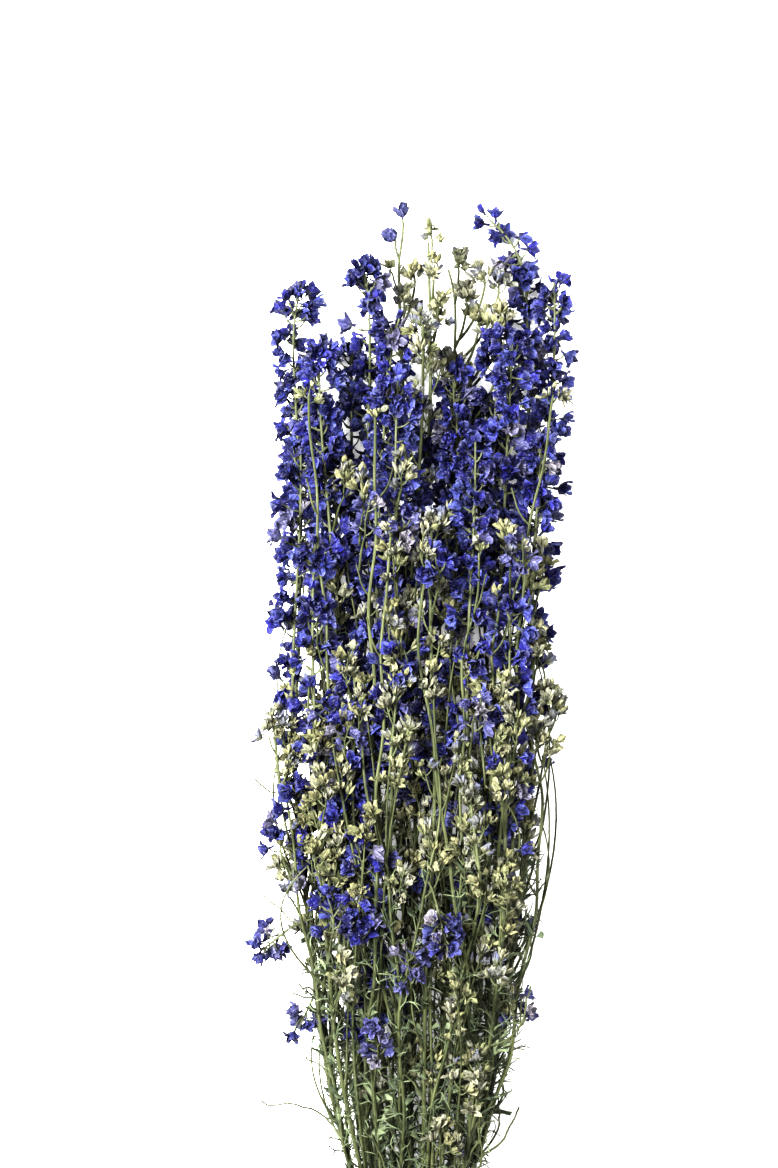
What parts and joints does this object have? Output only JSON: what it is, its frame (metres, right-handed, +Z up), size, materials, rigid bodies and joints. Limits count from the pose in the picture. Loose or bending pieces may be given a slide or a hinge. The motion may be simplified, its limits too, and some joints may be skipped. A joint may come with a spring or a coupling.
{
  "type": "dried delphinium bunch",
  "caption": "Tied bunch of cut, dried delphinium lying down: green stems with thread leaves, blue flower spikes and cream bud spikes.",
  "frame": {"origin": "middle of the bunch's box, on the surface that it lies on", "axes": "+Y along the stems from their cut ends to the flower tips, +Z up from the surface, +X to the right seen from above"},
  "size_m": [0.2216, 0.7766, 0.1257],
  "materials": {
    "green_stem": "dry matt stem and leaf",
    "blue_petals": "crumpled dry petals",
    "cream_buds": "dry papery buds",
    "twine": "twisted natural fibre"
  },
  "bodies": {
    "root": {"stem_01": "green_stem", "spike_01_blue": "blue_petals", "stem_02": "green_stem", "spike_02_blue": "blue_petals", "stem_03": "green_stem", "spike_03_cream": "cream_buds", "stem_04": "green_stem", "spike_04_cream": "cream_buds", "stem_05": "green_stem", "spike_05_blue": "blue_petals", "stem_06": "green_stem", "spike_06_blue": "blue_petals", "stem_07": "green_stem", "spike_07_blue": "blue_petals", "stem_08": "green_stem", "spike_08_blue": "blue_petals", "stem_09": "green_stem", "spike_09_blue": "blue_petals", "stem_10": "green_stem", "spike_10_cream": "cream_buds", "stem_11": "green_stem", "spike_11_blue": "blue_petals", "stem_12": "green_stem", "spike_12_blue": "blue_petals", "stem_13": "green_stem", "spike_13_blue": "blue_petals", "stem_14": "green_stem", "spike_14_blue": "blue_petals", "stem_15": "green_stem", "spike_15_blue": "blue_petals", "stem_16": "green_stem", "spike_16_blue": "blue_petals", "stem_17": "green_stem", "spike_17_cream": "cream_buds", "stem_18": "green_stem", "spike_18_blue": "blue_petals", "stem_19": "green_stem", "spike_19_blue": "blue_petals", "stem_20": "green_stem", "spike_20_blue": "blue_petals", "stem_21": "green_stem", "spike_21_blue": "blue_petals", "stem_22": "green_stem", "spike_22_blue": "blue_petals", "stem_23": "green_stem", "spike_23_blue": "blue_petals", "stem_24": "green_stem", "spike_24_cream": "cream_buds", "stem_25": "green_stem", "spike_25_blue": "blue_petals", "stem_26": "green_stem", "spike_26_blue": "blue_petals", "side_spike_1_blue": "blue_petals", "side_spike_2_blue": "blue_petals", "side_spike_3_cream": "cream_buds", "side_spike_4_blue": "blue_petals", "side_spike_5_cream": "cream_buds", "side_spike_6_cream": "cream_buds", "side_spike_7_cream": "cream_buds", "twine_tie": "twine"}
  },
  "joints": []
}
